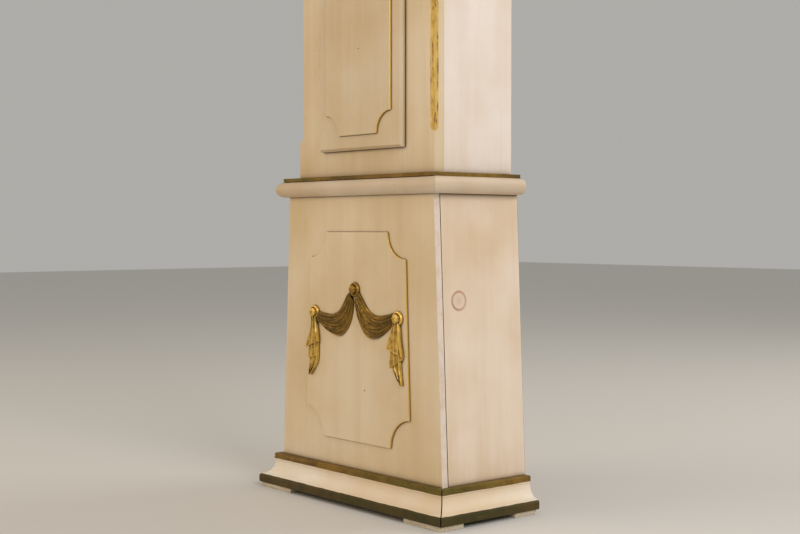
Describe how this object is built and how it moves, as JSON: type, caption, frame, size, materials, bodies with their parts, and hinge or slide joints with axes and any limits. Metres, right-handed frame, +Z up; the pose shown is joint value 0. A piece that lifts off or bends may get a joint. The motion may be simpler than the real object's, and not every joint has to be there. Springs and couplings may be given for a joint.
{
  "type": "grandfather clock",
  "caption": "Painted longcase clock: tapered plinth with gilded drapery, panelled trunk door, sliding hood with glazed dial, weight-driven pendulum movement.",
  "frame": {"origin": "on the floor, under the middle of the case's overall width and depth", "axes": "+Z up, the dial and door face -Y, +X to the viewer's right; the case's flush back lies in the plane of largest Y"},
  "size_m": [0.5, 0.238, 2.0002],
  "materials": {
    "painted_wood": "aged cream oil paint, satin",
    "bare_wood": "bare pine",
    "pad_wood": "bare pale wood",
    "gilded_wood": "gilded carving",
    "painted_steel": "painted over",
    "brass": "polished, aged",
    "steel": "blued and bright steel",
    "iron": "cast, blackened",
    "dial_enamel": "white enamel",
    "glass": "clear",
    "gut_line": "gut",
    "bell_metal": "turned bell metal"
  },
  "bodies": {
    "case": {"foot_pads": "pad_wood", "base_moulding": "painted_wood", "plinth_floor": "bare_wood", "plinth_front_board": "painted_wood", "plinth_side_boards": "painted_wood", "plinth_panel": "painted_wood", "drapery_ornament": "gilded_wood", "waist_moulding": "painted_wood", "trunk_front_frame": "painted_wood", "trunk_side_boards": "painted_wood", "back_board": "bare_wood", "throat_moulding": "painted_wood", "seat_board": "bare_wood", "trunk_hinge_leaves": "painted_steel", "back_plate": "brass", "front_plate": "brass", "plate_pillars": "brass", "dial": "dial_enamel", "suspension_cock": "brass", "bell": "bell_metal", "bell_stand": "steel", "going_line": "gut_line", "strike_line": "gut_line"},
    "trunk_door_leaf": {"trunk_door": "painted_wood", "trunk_door_panel": "painted_wood", "trunk_door_hinges": "painted_steel", "lock_case": "brass"},
    "bolt": {"lock_bolt": "steel"},
    "key": {"door_key": "steel"},
    "hood": {"hood_side_boards": "painted_wood", "hood_front_frame": "painted_wood", "hood_roof_board": "bare_wood", "hood_cornice": "painted_wood", "hood_base_roll": "painted_wood", "hood_crest": "painted_wood", "hood_hinge_leaves": "brass"},
    "hood_door_leaf": {"hood_door": "painted_wood", "dial_bezel": "gilded_wood", "hood_glass": "glass", "hood_door_hinges": "brass", "hood_door_knob": "brass"},
    "hammer_arm": {"hammer": "steel"},
    "great": {"great_wheel": "brass"},
    "going_drum": {"going_barrel": "brass"},
    "strike_drum": {"strike_barrel": "brass"},
    "minute": {"centre_wheel": "brass", "cannon_wheel": "brass", "minute_hand": "steel"},
    "third": {"third_wheel": "brass"},
    "escape": {"escape_wheel": "brass"},
    "reverse": {"minute_wheel": "brass"},
    "hour": {"hour_wheel": "brass", "hour_hand": "steel"},
    "anchor": {"anchor_and_crutch": "steel"},
    "pendulum": {"pendulum_rod": "brass", "pendulum_bob": "brass"},
    "going_mass": {"going_weight": "iron"},
    "going_sheave": {"going_pulley": "brass"},
    "strike_mass": {"strike_weight": "iron"},
    "strike_sheave": {"strike_pulley": "brass"}
  },
  "joints": [
    {"name": "trunk_door_hinge", "type": "hinge", "parent": "case", "child": "trunk_door_leaf", "pos_m": [-0.1135, -0.0558, 0.9751], "axis": [0, 0, -1], "range_deg": [0, 110]},
    {"name": "key_turn", "type": "hinge", "parent": "trunk_door_leaf", "child": "key", "pos_m": [0.096, -0.0624, 0.9751], "axis": [0, 1, 0], "range_deg": [0, 90]},
    {"name": "bolt_throw", "type": "slide", "parent": "trunk_door_leaf", "child": "bolt", "axis": [1, 0, 0], "range_m": [0, 0.008]},
    {"name": "hood_slide", "type": "slide", "parent": "case", "child": "hood", "axis": [0, -1, 0], "range_m": [0, 0.26]},
    {"name": "hood_door_hinge", "type": "hinge", "parent": "hood", "child": "hood_door_leaf", "pos_m": [-0.177, -0.0848, 1.6552], "axis": [0, 0, -1], "range_deg": [0, 105]},
    {"name": "pendulum_swing", "type": "hinge", "parent": "case", "child": "pendulum", "pos_m": [0, 0.085, 1.7212], "axis": [0, 1, 0], "range_deg": [-2.5, 2.5]},
    {"name": "anchor_rock", "type": "hinge", "parent": "case", "child": "anchor", "pos_m": [0, 0.039, 1.7212], "axis": [0, 1, 0], "range_deg": [-2.6, 2.6]},
    {"name": "minute_turn", "type": "hinge", "parent": "case", "child": "minute", "pos_m": [0, -0.001, 1.6552], "axis": [0, 1, 0], "continuous": true},
    {"name": "hour_turn", "type": "hinge", "parent": "case", "child": "hour", "pos_m": [0, -0.014, 1.6552], "axis": [0, 1, 0], "continuous": true},
    {"name": "minute_wheel_turn", "type": "hinge", "parent": "case", "child": "reverse", "pos_m": [0, -0.011, 1.61425], "axis": [0, 1, 0], "continuous": true},
    {"name": "great_wheel_turn", "type": "hinge", "parent": "case", "child": "great", "pos_m": [0.036, 0.051, 1.62956], "axis": [0, 1, 0], "continuous": true},
    {"name": "third_wheel_turn", "type": "hinge", "parent": "case", "child": "third", "pos_m": [0.01426, 0.029, 1.67836], "axis": [0, 1, 0], "continuous": true},
    {"name": "escape_wheel_turn", "type": "hinge", "parent": "case", "child": "escape", "pos_m": [0, 0.039, 1.6972], "axis": [0, 1, 0], "continuous": true},
    {"name": "going_weight_rise", "type": "slide", "parent": "case", "child": "going_mass", "axis": [0, 0, 1], "range_m": [0, 1.08], "deforming": ["going_line"]},
    {"name": "going_barrel_turn", "type": "hinge", "parent": "case", "child": "going_drum", "pos_m": [0.036, 0.027, 1.62956], "axis": [0, 1, 0], "range_deg": [-4800, 0]},
    {"name": "going_pulley_turn", "type": "hinge", "parent": "going_mass", "child": "going_sheave", "pos_m": [0.084, 0.027, 0.335], "axis": [0, 1, 0], "range_deg": [0, 2850]},
    {"name": "strike_weight_rise", "type": "slide", "parent": "case", "child": "strike_mass", "axis": [0, 0, 1], "range_m": [0, 1.08], "deforming": ["strike_line"]},
    {"name": "strike_barrel_turn", "type": "hinge", "parent": "case", "child": "strike_drum", "pos_m": [-0.036, 0.027, 1.62956], "axis": [0, 1, 0], "range_deg": [0, 4800]},
    {"name": "strike_pulley_turn", "type": "hinge", "parent": "strike_mass", "child": "strike_sheave", "pos_m": [-0.084, 0.027, 0.335], "axis": [0, 1, 0], "range_deg": [-2850, 0]},
    {"name": "hammer_lift", "type": "hinge", "parent": "case", "child": "hammer_arm", "pos_m": [0.062, 0.028, 1.7122], "axis": [0, 1, 0], "range_deg": [-4, 10], "stiffness_Nm_per_rad": 0.15}
  ],
  "couplings": [
    {"joint": "bolt_throw", "follows": "key_turn", "m_per_rad": 0.005093},
    {"joint": "anchor_rock", "follows": "pendulum_swing", "ratio": 1},
    {"joint": "hour_turn", "follows": "minute_turn", "ratio": 0.083333},
    {"joint": "minute_wheel_turn", "follows": "minute_turn", "ratio": -1},
    {"joint": "great_wheel_turn", "follows": "minute_turn", "ratio": -0.083333},
    {"joint": "third_wheel_turn", "follows": "minute_turn", "ratio": -7.5},
    {"joint": "escape_wheel_turn", "follows": "minute_turn", "ratio": 60},
    {"joint": "going_barrel_turn", "follows": "going_weight_rise", "rad_per_m": -76.923},
    {"joint": "going_pulley_turn", "follows": "going_weight_rise", "rad_per_m": 45.455},
    {"joint": "strike_barrel_turn", "follows": "strike_weight_rise", "rad_per_m": 76.923},
    {"joint": "strike_pulley_turn", "follows": "strike_weight_rise", "rad_per_m": -45.455}
  ]
}
